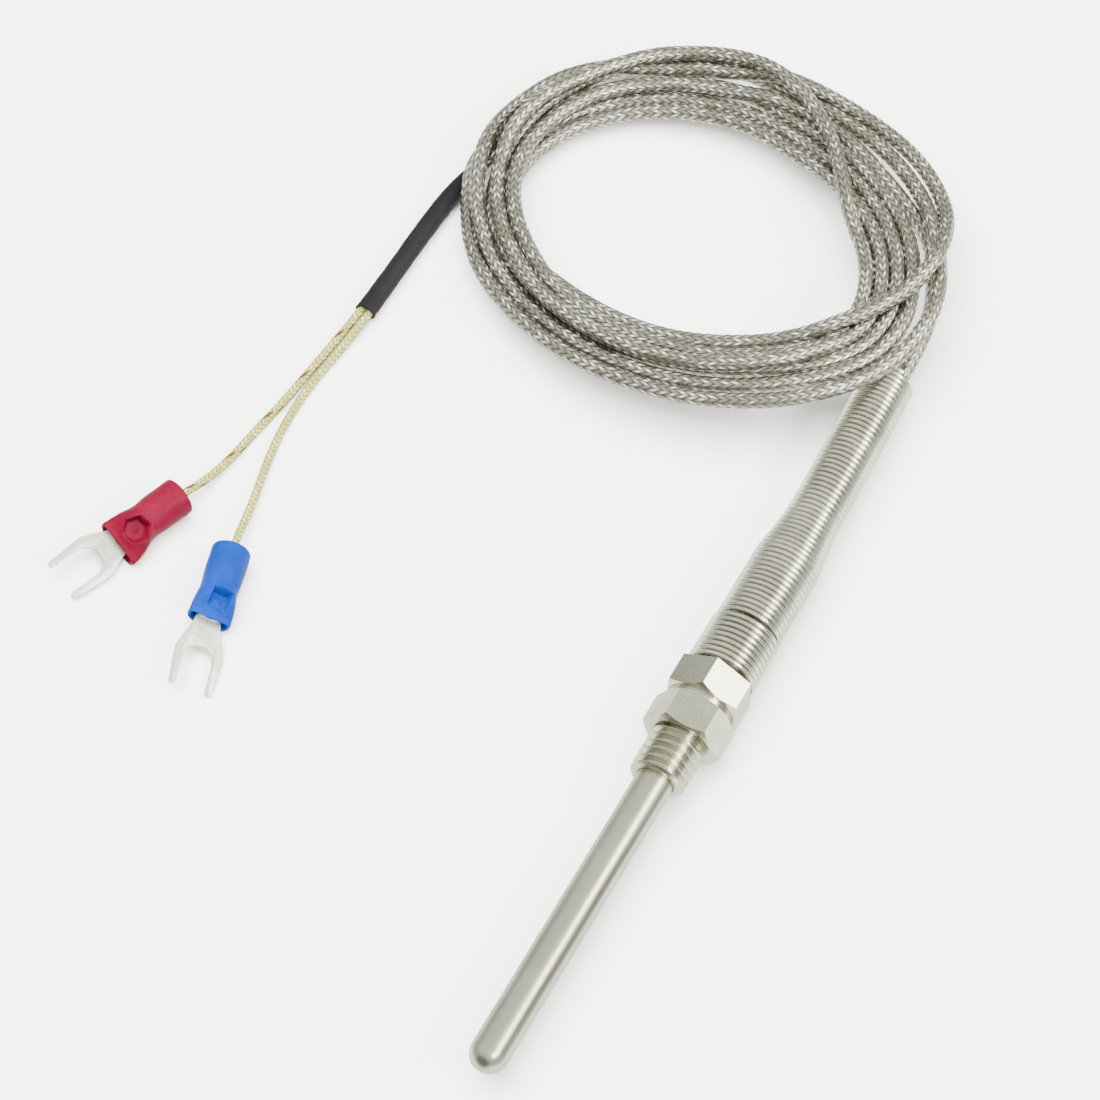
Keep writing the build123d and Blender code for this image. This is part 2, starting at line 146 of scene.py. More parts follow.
def oval_reach(oval, angle):
    """Distance from the coil's centre to an oval in a direction."""
    (cx, cy), (a, b), turn = oval
    turn = math.radians(turn)
    c, s = math.cos(turn), math.sin(turn)
    px, py = COIL_CENTRE[0] - cx, COIL_CENTRE[1] - cy
    dx, dy = math.cos(angle), math.sin(angle)
    ox, oy = (px * c + py * s) / a, (py * c - px * s) / b
    ux, uy = (dx * c + dy * s) / a, (dy * c - dx * s) / b
    qa, qb, qc = ux * ux + uy * uy, 2 * (ox * ux + oy * uy), ox * ox + oy * oy - 1
    return (math.sqrt(qb * qb - 4 * qa * qc) - qb) / (2 * qa)


def uphill(x, y):
    """How far a place is from the outer oval's centre, towards the coil's raised side."""
    cx, cy = OUTER_OVAL[0]
    return (x - cx) * math.cos(COIL_RISES_TOWARDS) + (y - cy) * math.sin(COIL_RISES_TOWARDS)


def lowest_reach():
    """The outer oval's furthest reach down the slope, where the coil touches the floor."""
    reaches = []
    for step in range(360):
        angle = math.radians(step)
        r = oval_reach(OUTER_OVAL, angle)
        reaches.append(uphill(COIL_CENTRE[0] + r * math.cos(angle), COIL_CENTRE[1] + r * math.sin(angle)))
    return min(reaches)


DOWNHILL_END = lowest_reach()


def coil_plane(x, y):
    return FLOOR + (uphill(x, y) - DOWNHILL_END) * math.tan(COIL_TILT)


def coil_line():
    """The turns as a smooth line, before the strands have pushed each other apart."""
    lanes = catmull([station for turn in TURNS for station in turn], STEPS_PER_STATION)
    line = []
    for k, (lane, layer) in enumerate(lanes):
        angle = math.radians(FIRST_STATION + STATION_STEP * (1 + k / STEPS_PER_STATION))
        inside = oval_reach(INNER_OVAL, angle) + CABLE_R
        outside = oval_reach(OUTER_OVAL, angle) - CABLE_R
        r = inside + lane * (outside - inside)
        x, y = COIL_CENTRE[0] + r * math.cos(angle), COIL_CENTRE[1] + r * math.sin(angle)
        line.append((x, y, coil_plane(x, y) + CABLE_R + LAYER * layer))
    return np.array(line)


def runs(points, step):
    """How many steps of about that length each run between points has."""
    rows = np.array(points, float)
    return [max(1, round(float(np.linalg.norm(b - a)) / step)) for a, b in zip(rows, rows[1:])]


SETTLE_ROUNDS = 120
NEIGHBOURS = 10  # points closer than this along the cable never push each other
RISE_RATHER = 1.5  # how much more readily strands pass over each other than aside
PUSH = 1.2
PULL_HOME = 0.015
SINK = 0.02
STIFFNESS = 0.3


def settle(line, first_free, last_free):
    """Lets the strands push each other a diameter apart, sink onto the coil's plane and stay stiff."""
    home = line.copy()
    free = np.zeros(len(line), bool)
    free[first_free:last_free] = True
    one, other = np.triu_indices(len(line), NEIGHBOURS)
    for _ in range(SETTLE_ROUNDS):
        apart = line[other] - line[one]
        gap = np.sqrt((apart * apart).sum(1))
        near = gap < CABLE_D
        i, j, apart, gap = one[near], other[near], apart[near], gap[near]
        away = apart / np.maximum(gap, 1e-6)[:, None] * (1.0, 1.0, RISE_RATHER)
        away /= np.linalg.norm(away, axis=1)[:, None]
        push = ((CABLE_D - gap) * 0.5)[:, None] * away
        total = np.zeros_like(line)
        count = np.ones(len(line))
        np.add.at(total, i, -push)
        np.add.at(total, j, push)
        np.add.at(count, i, 1)
        np.add.at(count, j, 1)
        move = total / np.maximum(count - 1, 1)[:, None] * PUSH
        for _ in range(3):
            move[1:-1] = 0.5 * move[1:-1] + 0.25 * (move[:-2] + move[2:])
        line[free] += move[free]
        line[free, :2] += (home[free, :2] - line[free, :2]) * PULL_HOME
        line[free, 2] -= SINK
        smooth = line.copy()
        smooth[1:-1] = 0.5 * line[1:-1] + 0.25 * (line[:-2] + line[2:])
        line[free] += (smooth[free] - line[free]) * STIFFNESS
        ground = np.array([coil_plane(x, y) for x, y in line[:, :2]]) + CABLE_R
        line[free, 2] = np.maximum(line[free, 2], ground[free])
    return line


BESIDE_STEP = 1.4  # of the still cable on each side of the coil, which only keeps the coil's strands off it
KEEP_EVERY = 4


def cable_route():
    """The cable's points: the exit's own, those of the settled coil, and the tail's own."""
    coil = coil_line()
    lead_in = EXIT_ROUTE + [coil[0]]
    start = catmull(lead_in, runs(lead_in, BESIDE_STEP))[:-1]
    lead_out = [coil[-1], TAIL_ROUTE[0], TAIL_ROUTE[1], TAIL_END]
    end = catmull(lead_out, runs(lead_out, BESIDE_STEP))[1:]
    line = settle(np.vstack([start, coil, end]), len(start) - 2, len(start) + len(coil))
    turns = line[len(start):len(start) + len(coil):KEEP_EVERY][1:-1]
    return [tuple(p) for p in (*EXIT_ROUTE, *turns, *lead_out[1:])]


LEAD_SPACING = 0.62
REACH_INTO_SLEEVE = 4.5


def lead_route(side, middle, entry, heading):
    """A lead's points, from inside the heat-shrink, on one side of its middle, into its terminal's sleeve."""
    tail, end = Vector(TAIL_ROUTE[2]), Vector(TAIL_ROUTE[3])
    run = end - tail
    across = Vector((-run.y, run.x, 0)).normalized() * LEAD_SPACING * side
    route = [tail + run * 0.25 + across, end + across]
    route += [Vector(p) for p in middle]
    angle = math.radians(heading)
    ahead = Vector((math.cos(angle), math.sin(angle), 0))
    mouth = Vector((entry[0], entry[1], SLEEVE_Z))
    route += [mouth - ahead * 0.3 - Vector((0, 0, 0.08)), mouth + ahead * REACH_INTO_SLEEVE]
    return [tuple(p) for p in route]


RED_ENTRY, RED_HEADING = (-78.5, 3.9), -110.0
BLUE_ENTRY, BLUE_HEADING = (-67.85, -0.5), -75.5
TERMINAL_ROLL = -23.0
TRACER_ROUTE = lead_route(-1, [
    (-73.15, 37.0, LEAD_Z + 0.1),
    (-73.85, 31.0, LEAD_Z),
    (-74.5, 25.0, LEAD_Z),
    (-75.5, 19.0, LEAD_Z),
    (-76.2, 13.4, LEAD_Z + 0.1),
    (-77.0, 8.6, LEAD_Z + 0.9),
], RED_ENTRY, RED_HEADING)
PLAIN_ROUTE = lead_route(1, [
    (-71.75, 37.0, LEAD_Z + 0.1),
    (-72.5, 31.0, LEAD_Z),
    (-72.75, 25.5, LEAD_Z),
    (-72.3, 19.5, LEAD_Z),
    (-71.2, 13.8, LEAD_Z + 0.05),
    (-69.9, 8.8, LEAD_Z + 0.4),
    (-69.0, 4.6, LEAD_Z + 1.3),
], BLUE_ENTRY, BLUE_HEADING)


def spline_line(name, route, step):
    """Evenly spaced points, in metres, read from the NURBS spline that has the route as control points."""
    curve = bpy.data.curves.new(name + "_line", "CURVE")
    curve.dimensions = "3D"
    curve.resolution_u = 12
    spline = curve.splines.new("NURBS")
    spline.points.add(len(route) - 1)
    for point, place in zip(spline.points, route):
        point.co = (*(c * MM for c in place), 1.0)
    spline.order_u = 3
    spline.use_endpoint_u = True
    holder = bpy.data.objects.new(name + "_line", curve)
    bpy.context.scene.collection.objects.link(holder)
    bpy.context.view_layer.update()
    mesh = bpy.data.meshes.new_from_object(holder.evaluated_get(bpy.context.evaluated_depsgraph_get()))
    points = np.array([v.co for v in mesh.vertices])
    bpy.data.objects.remove(holder)
    bpy.data.curves.remove(curve)
    bpy.data.meshes.remove(mesh)
    along = np.concatenate([[0], np.cumsum(np.linalg.norm(np.diff(points, axis=0), axis=1))])
    count = max(2, int(round(along[-1] / (step * MM))))
    marks = np.linspace(0, along[-1], count + 1)
    return np.stack([np.interp(marks, along, points[:, k]) for k in range(3)], axis=1), marks


def frames(line):
    """Two unit vectors across the line at each point, turned as little as possible along it."""
    ahead = np.gradient(line, axis=0)
    ahead /= np.linalg.norm(ahead, axis=1)[:, None]
    side = np.cross(ahead[0], (0, 0, 1.0))
    side /= np.linalg.norm(side)
    sides = [side]
    for t in ahead[1:]:
        side = side - t * side.dot(t)
        side /= np.linalg.norm(side)
        sides.append(side)
    sides = np.array(sides)
    return sides, np.cross(sides, ahead)


def mesh_piece(name, verts, faces, uvs=None):
    """A smooth piece that rides on the probe and faces outwards. uvs gives each vertex (along, around)."""
    mesh = bpy.data.meshes.new(name)
    verts = np.asarray(verts, np.float32)
    mesh.vertices.add(len(verts))
    mesh.vertices.foreach_set("co", verts.ravel())
    sizes = [len(f) for f in faces]
    loops = np.fromiter((v for f in faces for v in f), np.int32)
    mesh.loops.add(len(loops))
    mesh.loops.foreach_set("vertex_index", loops)
    mesh.polygons.add(len(faces))
    starts = np.concatenate([[0], np.cumsum(sizes)[:-1]]).astype(np.int32)
    mesh.polygons.foreach_set("loop_start", starts)
    mesh.polygons.foreach_set("use_smooth", np.ones(len(faces), bool))
    mesh.update(calc_edges=True)
    mesh.validate()
    if uvs is not None:
        layer = mesh.uv_layers.new(name="uv")
        flat = np.asarray(uvs, np.float32)[loops]
        first = np.repeat(starts, sizes)
        # Where a face crosses the seam, its corners stay on one side of it
        flat[:, 1] -= np.round(flat[:, 1] - flat[first, 1])
        layer.data.foreach_set("uv", flat.ravel())
    shape = bmesh.new()
    shape.from_mesh(mesh)
    inside_out = shape.calc_volume(signed=True) < 0
    shape.free()
    if inside_out:
        mesh.flip_normals()
    piece = bpy.data.objects.new(name, mesh)
    bpy.context.scene.collection.objects.link(piece)
    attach(piece, "probe")
    return piece


def ring_faces(rings, around, closed_ends=True):
    """Faces that join rings of vertices into a tube, with or without a face over each end."""
    faces = []
    for r in range(rings - 1):
        a, b = r * around, (r + 1) * around
        for k in range(around):
            n = (k + 1) % around
            faces.append((a + k, a + n, b + n, b + k))
    if closed_ends:
        faces.append(tuple(range(around - 1, -1, -1)))
        last = (rings - 1) * around
        faces.append(tuple(range(last, last + around)))
    return faces


def double_wall_faces(rings, around):
    """Faces of a sleeve with a wall: an outer tube, an inner one, and a rim that joins them at each end."""
    offset = rings * around
    tube = ring_faces(rings, around, False)
    faces = tube + [tuple(v + offset for v in reversed(f)) for f in tube]
    for ring, flip in ((0, True), (rings - 1, False)):
        for n in range(around):
            a, b = ring * around + n, ring * around + (n + 1) % around
            face = (a, b, b + offset, a + offset)
            faces.append(tuple(reversed(face)) if flip else face)
    return faces


BRAID_LEAN = 0.8  # how far a strand runs along the cable across one column, in pitches
RIDGE_ROUNDNESS = 0.8
COLUMN_ROUNDNESS = 0.6
COLUMN_FLOOR = 0.35  # height that is left between two columns
STRANDS = 4  # parallel wires or yarns in each ridge


def braid_height(along, around, columns, pitch):
    """Height from 0 to 1 of a herringbone: slanted ridges in columns that lean to each side in turn."""
    zigzag = np.abs((around * columns / 2) % 1.0 - 0.5) * 2 * BRAID_LEAN
    ridge = np.abs(np.sin(np.pi * (along / pitch + zigzag)))
    column = np.abs(np.sin(np.pi * around * columns))
    return ridge ** RIDGE_ROUNDNESS * (COLUMN_FLOOR + (1 - COLUMN_FLOOR) * column ** COLUMN_ROUNDNESS)


def braided_tube(name, route, radius, step, around, columns, pitch, relief):
    """A tube along the route's spline whose surface has the braid's relief."""
    line, marks = spline_line(name, route, step)
    side, up = frames(line)
    turn = np.arange(around) / around
    angle = 2 * np.pi * turn
    height = braid_height(marks[:, None] / MM, turn[None, :], columns, pitch)
    reach = (radius - relief + relief * height) * MM
    ring = side[:, None, :] * np.cos(angle)[None, :, None] + up[:, None, :] * np.sin(angle)[None, :, None]
    verts = (line[:, None, :] + ring * reach[:, :, None]).reshape(-1, 3)
    uvs = np.stack([np.repeat(marks / MM, around), np.tile(turn, len(line))], axis=1)
    piece = mesh_piece(name, verts, ring_faces(len(line), around), uvs)
    return piece, line, marks


CABLE_COLUMNS, CABLE_PITCH, CABLE_RELIEF = 12, 1.35, 0.11
LEAD_COLUMNS, LEAD_PITCH, LEAD_RELIEF = 6, 0.78, 0.08
LEAD_NAP = 0.03  # how far the glass fibre stands out

cable, cable_line, cable_marks = braided_tube(
    "cable", cable_route(), CABLE_R, 0.29, 24, CABLE_COLUMNS, CABLE_PITCH, CABLE_RELIEF)
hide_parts("cable_exit_run", "cable_coil", "cable_tail")
lead_pieces = {}
for lead_name, node_name, lead_points in (
        ("lead_red", "lead_tracer", TRACER_ROUTE), ("lead_blue", "lead_plain", PLAIN_ROUTE)):
    piece, line, marks = braided_tube(
        lead_name, lead_points, LEAD_R + LEAD_NAP, 0.2, 18, LEAD_COLUMNS, LEAD_PITCH, LEAD_RELIEF)
    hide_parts(node_name)
    lead_pieces[lead_name] = (piece, line, marks)


# ---------------------------------------------------------------- heat-shrink over the cable's end
SHRINK_OVERLAP = 15.5  # how far it reaches from the braid's end back over the cable
SHRINK_FLATTENS = 9.0
SHRINK_WALL = 0.22


def heat_shrink():
    """Shrunk sleeve: round over the braid, narrower behind the cable's end and pinched between the leads."""
    start = tuple(cable_line[np.searchsorted(cable_marks, cable_marks[-1] - SHRINK_OVERLAP * MM)] / MM)
    line, marks = spline_line("heat_shrink", [start] + TAIL_ROUTE, 0.35)
    side, up = frames(line)
    around = 40
    rows = []
    for inner in (False, True):
        for k, mark in enumerate(marks):
            along = mark / MM
            left = (marks[-1] - mark) / MM
            flat = min(1.0, max(0.0, 1 - left / SHRINK_FLATTENS))
            for n in range(around):
                angle = 2 * math.pi * n / around
                lobes = math.cos(angle) ** 2
                r = 1.40 + 0.10 * flat * lobes - 0.16 * flat * (1 - lobes)
                r += 0.018 * math.sin(along * 2.3 + 3 * math.cos(angle)) * math.sin(along * 0.7)
                r += 0.02 * math.sin(5 * angle + along * 0.35)
                r += -SHRINK_WALL if inner else 0.05 * math.exp(-left / 0.35)
                rows.append(line[k] + (side[k] * math.cos(angle) + up[k] * math.sin(angle)) * r * MM)
    rings = len(marks)
    uvs = np.stack([np.repeat(marks / MM, around), np.tile(np.arange(around) / around, rings)], axis=1)
    return mesh_piece("shrink_sleeve", rows, double_wall_faces(rings, around), np.vstack([uvs, uvs]))


shrink = heat_shrink()
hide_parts("heat_shrink")

# ---------------------------------------------------------------- strain-relief spring
SPRING_WIRE = 0.76
SPRING_START = 10.9 + SPRING_WIRE / 2 + 0.05
SPRING_BEND = 1.2
SPRING_SPANS = [
    # turns, pitch, radius at the start, radius at the end
    (8.8, 0.84, 4.59, 4.59),
    (1.0, 1.24, 4.59, 4.37),
    (13.85, 0.80, 4.37, 4.37),
    (9.5, 0.80, 4.37, 3.44),
    (32.75, 0.80, 3.44, 3.34),
]


POINTS_PER_TURN = 30
BEND_FROM = 22.0


def spring_line():
    """The wire's centre line. The winding leans a little to one side towards its end."""
    line = []
    turned, rise = 0.0, SPRING_START
    for turns, pitch, r0, r1 in SPRING_SPANS:
        steps = round(turns * POINTS_PER_TURN)
        for k in range(steps):
            t = k / steps
            angle = 2 * math.pi * (turned + turns * t)
            y = rise + turns * pitch * t
            r = r0 + (r1 - r0) * t + 0.012 * math.sin(angle * 0.13) + 0.008 * math.sin(angle * 0.31)
            lean = SPRING_BEND * max(0.0, (y - BEND_FROM) / (SPRING_END - BEND_FROM)) ** 2
            line.append((r * math.cos(angle) - lean, y, -r * math.sin(angle)))
        turned += turns
        rise += turns * pitch
    return np.array(line) * MM


def wire_spring():
    """A round wire along that line, closed at both ends."""
    line = spring_line()
    around = 12
    ahead = np.gradient(line, axis=0)
    ahead /= np.linalg.norm(ahead, axis=1)[:, None]
    out = line * (1, 0, 1)
    out -= ahead * (out * ahead).sum(1)[:, None]
    out /= np.linalg.norm(out, axis=1)[:, None]
    over = np.cross(ahead, out)
    angle = 2 * np.pi * np.arange(around) / around
    ring = out[:, None, :] * np.cos(angle)[None, :, None] + over[:, None, :] * np.sin(angle)[None, :, None]
    verts = (line[:, None, :] + ring * SPRING_WIRE / 2 * MM).reshape(-1, 3)
    marks = np.arange(len(line)) * 0.9
    uvs = np.stack([np.repeat(marks, around), np.tile(np.arange(around) / around, len(line))], axis=1)
    return mesh_piece("spring", verts, ring_faces(len(line), around), uvs)


spring = wire_spring()
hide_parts("strain_relief_spring")


# ---------------------------------------------------------------- sleeves and forks
SLEEVE_LENGTH = 11.2
SLEEVE_R = 2.74
SLEEVE_WALL = 0.72
SHEET = 0.8
TONGUE_Z = -1.0
SLOT_R = 2.15
SLOT_CENTRE = 16.75
TERMINAL_LENGTH = 21.2
TINE_ROOT = 1.25
TINE_TIP = 0.9


def terminal_space(entry, heading):
    """From a terminal's own space, +X out of its cable end, to the row frame."""
    place = Matrix.Translation(Vector((entry[0], entry[1], SLEEVE_Z)) * MM)
    place = place @ Matrix.Rotation(math.radians(heading), 4, "Z")
    return place @ Matrix.Rotation(math.radians(TERMINAL_ROLL), 4, "X") @ Matrix.Scale(MM, 4)


def smoothstep(a, b, x):
    t = min(1.0, max(0.0, (x - a) / (b - a)))
    return t * t * (3 - 2 * t)


def bell(x, width):
    """1 at 0, and less and less over about the width on each side."""
    return math.exp(-(x / width) ** 2)


def rounded(c, sn, wide, high, power):
    """How far a rounded box of those half sizes reaches in a direction. Power sharpens its corners."""
    return (abs(c / wide) ** power + abs(sn / high) ** power) ** (-1 / power)


def polygon_reach(x, y, sides, turn):
    """How far a place is from the middle of a polygon, where 1 is on its sides."""
    angle = math.atan2(y, x) - turn
    half = math.pi / sides
    angle = (angle + half) % (2 * half) - half
    return math.hypot(x, y) * math.cos(angle)


def dented(x, y, z, dent, floor_height):
    """Pushes a place on the sleeve down into the crimping tool's dent and the hollow that it drags along."""
    centre, turn, sides, width, spin = dent
    across = y * math.cos(turn) - z * math.sin(turn)
    up = y * math.sin(turn) + z * math.cos(turn)
    if up <= 0:
        return x, y, z
    drag = 0.30 * bell(x - centre + 2.6, 1.3) * bell(across, 1.7)
    reach = polygon_reach(x - centre, across, sides, spin)
    share = smoothstep(width + 0.30, width - 0.30, reach)
    lip = 0.07 * bell(reach - width - 0.3, 0.25)
    bottom = floor_height + 0.16 * bell(reach, 0.42)
    up = up - drag + lip
    up -= share * max(0.0, up - bottom)
    return x, across * math.cos(turn) + up * math.sin(turn), up * math.cos(turn) - across * math.sin(turn)


FLATTENS = (5.6, 10.8)  # where the sleeve changes from its round end to its flat end
TOP_DROPS = (7.5, 11.4)
END_TOP, END_BOTTOM = 0.45, 2.35
DENT_FLOOR, DENT_FLOOR_INSIDE = 0.88, 0.40


def sleeve(name, entry, heading, length, flat_end, aside, dent):
    """Vinyl sleeve: round at the lead's end, crimped, then flat and wide over the fork's neck."""
    around, rings = 96, 90
    space = terminal_space(entry, heading)
    lowest = (FLOOR + 0.01) * MM
    rows = []
    for inner in (False, True):
        for k in range(rings):
            x = length * k / (rings - 1)
            flat = smoothstep(*FLATTENS, x)
            drop = smoothstep(*TOP_DROPS, x)
            edge = 0.16 * (math.exp(-x / 0.13) + math.exp(-(length - x) / 0.16))
            waist = 0.16 * bell(x - 6.6, 1.6)
            flare = 0.10 * bell(length - x, 0.5)
            wide = SLEEVE_R * (1 - flat) + flat_end * flat - waist + flare
            top = SLEEVE_R * (1 - drop) + END_TOP * drop + flare
            bottom = SLEEVE_R * (1 - flat) + END_BOTTOM * flat + flare
            wall = SLEEVE_WALL - 0.15 * flat
            for n in range(around):
                angle = 2 * math.pi * n / around
                c, sn = math.cos(angle), math.sin(angle)
                r = rounded(c, sn, wide, top if sn > 0 else bottom, 2.0 + 0.7 * flat)
                r += 0.02 * math.sin(3 * angle + 0.9 * x) * math.sin(0.7 * x)
                r += edge - wall if inner else -edge
                hollow = DENT_FLOOR_INSIDE if inner else DENT_FLOOR
                place = space @ Vector(dented(x, r * c + aside * flat, r * sn, dent, hollow))
                place.z = max(place.z, lowest)
                rows.append(place)
    return mesh_piece(name, rows, double_wall_faces(rings, around))


def arc(centre, radius, start, end, steps):
    """Points on an arc about a place, between two directions in degrees."""
    points = []
    for k in range(steps + 1):
        angle = math.radians(start + (end - start) * k / steps)
        points.append((centre[0] + radius * math.cos(angle), centre[1] + radius * math.sin(angle)))
    return points


SHOULDER = [(9.9, 1.75), (11.2, 1.95), (12.2, 2.2), (13.4, 2.72), (14.3, 3.08), (15.0, 3.28), (15.8, 3.39)]


def tongue_outline():
    """One closed line round the fork: shoulder, tapered tine, slot, tine, shoulder."""
    tine_start, tine_end = SHOULDER[-1][0], TERMINAL_LENGTH - TINE_TIP / 2
    tip = SLOT_R + TINE_TIP / 2
    half = list(SHOULDER)
    for x in (17.0, 18.2, 19.4):
        share = (x - tine_start) / (tine_end - tine_start)
        half.append((x, SLOT_R + TINE_ROOT + (TINE_TIP - TINE_ROOT) * share))
    half += arc((tine_end, tip), TINE_TIP / 2, 90, -90, 10)
    half += [(19.0, SLOT_R), (17.6, SLOT_R)]
    slot = arc((SLOT_CENTRE, 0), SLOT_R, 90, 270, 28)
    return half + slot + [(x, -y) for x, y in reversed(half)]


STAMPED_EDGE = 0.14


def plate():
    """The tongue as a filled outline with rounded edges: corners and faces in the terminal's own space."""
    curve = bpy.data.curves.new("plate", "CURVE")
    curve.dimensions = "2D"
    curve.fill_mode = "BOTH"
    curve.bevel_depth = STAMPED_EDGE
    curve.offset = -STAMPED_EDGE
    curve.bevel_resolution = 2
    curve.extrude = SHEET / 2 - STAMPED_EDGE
    outline = tongue_outline()
    spline = curve.splines.new("POLY")
    spline.points.add(len(outline) - 1)
    for point, place in zip(spline.points, outline):
        point.co = (*place, 0.0, 1.0)
    spline.use_cyclic_u = True
    holder = bpy.data.objects.new("plate", curve)
    bpy.context.scene.collection.objects.link(holder)
    bpy.context.view_layer.update()
    mesh = bpy.data.meshes.new_from_object(holder.evaluated_get(bpy.context.evaluated_depsgraph_get()))
    shape = bmesh.new()
    shape.from_mesh(mesh)
    bmesh.ops.remove_doubles(shape, verts=shape.verts, dist=0.0005)
    bmesh.ops.recalc_face_normals(shape, faces=shape.faces)
    shape.verts.index_update()
    verts = [(v.co.x, v.co.y, v.co.z + TONGUE_Z) for v in shape.verts]
    faces = [tuple(v.index for v in f.verts) for f in shape.faces]
    shape.free()
    bpy.data.objects.remove(holder)
    bpy.data.curves.remove(curve)
    bpy.data.meshes.remove(mesh)
    return verts, faces


# Sections of the crimped barrel: x, half width, half height, height of the middle
BARREL = [(4.0, 1.75, 1.75, 0.0), (5.5, 1.75, 1.7, 0.0), (7.0, 1.6, 1.0, -0.3), (9.0, 1.7, 0.80, -0.55),
          (9.7, 1.72, 0.58, -0.78), (10.3, 1.7, 0.42, -0.93), (10.8, 1.65, 0.34, -1.0)]


def barrel():
    """The crimped barrel, closed at both ends and flattened into the tongue."""
    around = 40
    rows = []
    for x, wide, high, middle in catmull(BARREL, 4):
        for n in range(around):
            angle = 2 * math.pi * n / around
            c, sn = math.cos(angle), math.sin(angle)
            r = rounded(c, sn, wide, high, 2.4 + 3.0 * smoothstep(9.0, 10.6, x))
            rows.append((x, r * c, middle + r * sn))
    return rows, ring_faces(len(rows) // around, around)


NECK = Vector((10.0, 0.0, 0.0))  # where a fork is bent


def fork(name, entry, heading, reach, yaw):
    """A whole terminal without its sleeve, pushed out of it by reach and bent sideways by yaw degrees."""
    verts, faces = plate()
    extra, more = barrel()
    faces = faces + [tuple(v + len(verts) for v in f) for f in more]
    bend = Matrix.Translation(NECK) @ Matrix.Rotation(math.radians(yaw), 4, "Z") @ Matrix.Translation(-NECK)
    bend = terminal_space(entry, heading) @ bend @ Matrix.Translation((reach, 0, 0))
    made = mesh_piece(name, [bend @ Vector(v) for v in verts + extra], faces)
    made.data.set_sharp_from_angle(angle=math.radians(40))
    return made


# Each dent: how far along the sleeve, its turn about it, and its corners, half width and turn on the surface
RED_DENT = (8.4, 0.25, 6, 1.55, 0.25)
BLUE_DENT = (8.75, 0.14, 4, 1.28, 0.03)
RED_SLEEVE_LENGTH = SLEEVE_LENGTH + 0.1
sleeve_red = sleeve("vinyl_red", RED_ENTRY, RED_HEADING, RED_SLEEVE_LENGTH, 3.45, 0.4, RED_DENT)
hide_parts("sleeve_red")
sleeve_blue = sleeve("vinyl_blue", BLUE_ENTRY, BLUE_HEADING, SLEEVE_LENGTH, 3.0, 0.0, BLUE_DENT)
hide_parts("sleeve_blue")
fork_red = fork("tin_fork_red", RED_ENTRY, RED_HEADING, -0.65, -1.0)
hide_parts("fork_red")
fork_blue = fork("tin_fork_blue", BLUE_ENTRY, BLUE_HEADING, 0.5, 2.5)
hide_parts("fork_blue")


# ---------------------------------------------------------------- materials
LOOKS = {}


class Shader:
    """A small helper that lays out one procedural material and keeps it in LOOKS under its name."""

    def __init__(self, name):
        self.name = name
        self.material = bpy.data.materials.new(name)
        self.material.use_nodes = True
        self.tree = self.material.node_tree
        self.surface = self.tree.nodes["Principled BSDF"]

    def node(self, kind, **settings):
        made = self.tree.nodes.new(kind)
        for key, value in settings.items():
            setattr(made, key, value)
        return made

    def link(self, source, target):
        self.tree.links.new(source, target)

    def put(self, target, value):
        if hasattr(value, "is_output"):
            self.link(value, target)
        elif value is not None:
            target.default_value = value

    def math(self, operation, a, b=None, c=None, clamp=False):
        made = self.node("ShaderNodeMath", operation=operation, use_clamp=clamp)
        for socket, value in zip(made.inputs, (a, b, c)):
            self.put(socket, value)
        return made.outputs[0]

    def ramp(self, value, low, high, to_low=0.0, to_high=1.0):
        made = self.node("ShaderNodeMapRange", interpolation_type="SMOOTHSTEP")
        for socket, number in zip(made.inputs, (value, low, high, to_low, to_high)):
            self.put(socket, number)
        return made.outputs[0]

    def mix(self, share, a, b):
        made = self.node("ShaderNodeMix", data_type="RGBA")
        self.put(made.inputs[0], share)
        self.put(made.inputs[6], a)
        self.put(made.inputs[7], b)
        return made.outputs[2]

    def place(self, scale=(1, 1, 1), source="Object"):
        coordinates = self.node("ShaderNodeTexCoord")
        mapping = self.node("ShaderNodeMapping")
        mapping.inputs["Scale"].default_value = scale
        self.link(coordinates.outputs[source], mapping.inputs["Vector"])
        return mapping.outputs[0]

    def noise(self, where, scale, detail=3.0, roughness=0.55):
        made = self.node("ShaderNodeTexNoise")
        self.link(where, made.inputs["Vector"])
        made.inputs["Scale"].default_value = scale
        made.inputs["Detail"].default_value = detail
        made.inputs["Roughness"].default_value = roughness
        return made.outputs["Fac"]

    def bump(self, height, strength, distance, under=None):
        made = self.node("ShaderNodeBump")
        made.inputs["Strength"].default_value = strength
        made.inputs["Distance"].default_value = distance
        self.put(made.inputs["Height"], height)
        if under is not None:
            self.link(under, made.inputs["Normal"])
        return made.outputs[0]

    def finish(self, color=None, roughness=None, normal=None, **fixed):
        for socket, value in (("Base Color", color), ("Roughness", roughness), ("Normal", normal)):
            if value is not None:
                self.put(self.surface.inputs[socket], value)
        for key, value in fixed.items():
            self.surface.inputs[key.replace("_", " ")].default_value = value
        LOOKS[self.name] = self.material


def dress(piece, look):
    piece.data.materials.clear()
    piece.data.materials.append(LOOKS[look])


def dress_node(name, look):
    """Gives a CAD node its look through its material slots."""
    node = frame["nodes"][name]
    if not node.material_slots:
        node.data.materials.append(LOOKS[look])
    for held in node.material_slots:
        held.material = LOOKS[look]


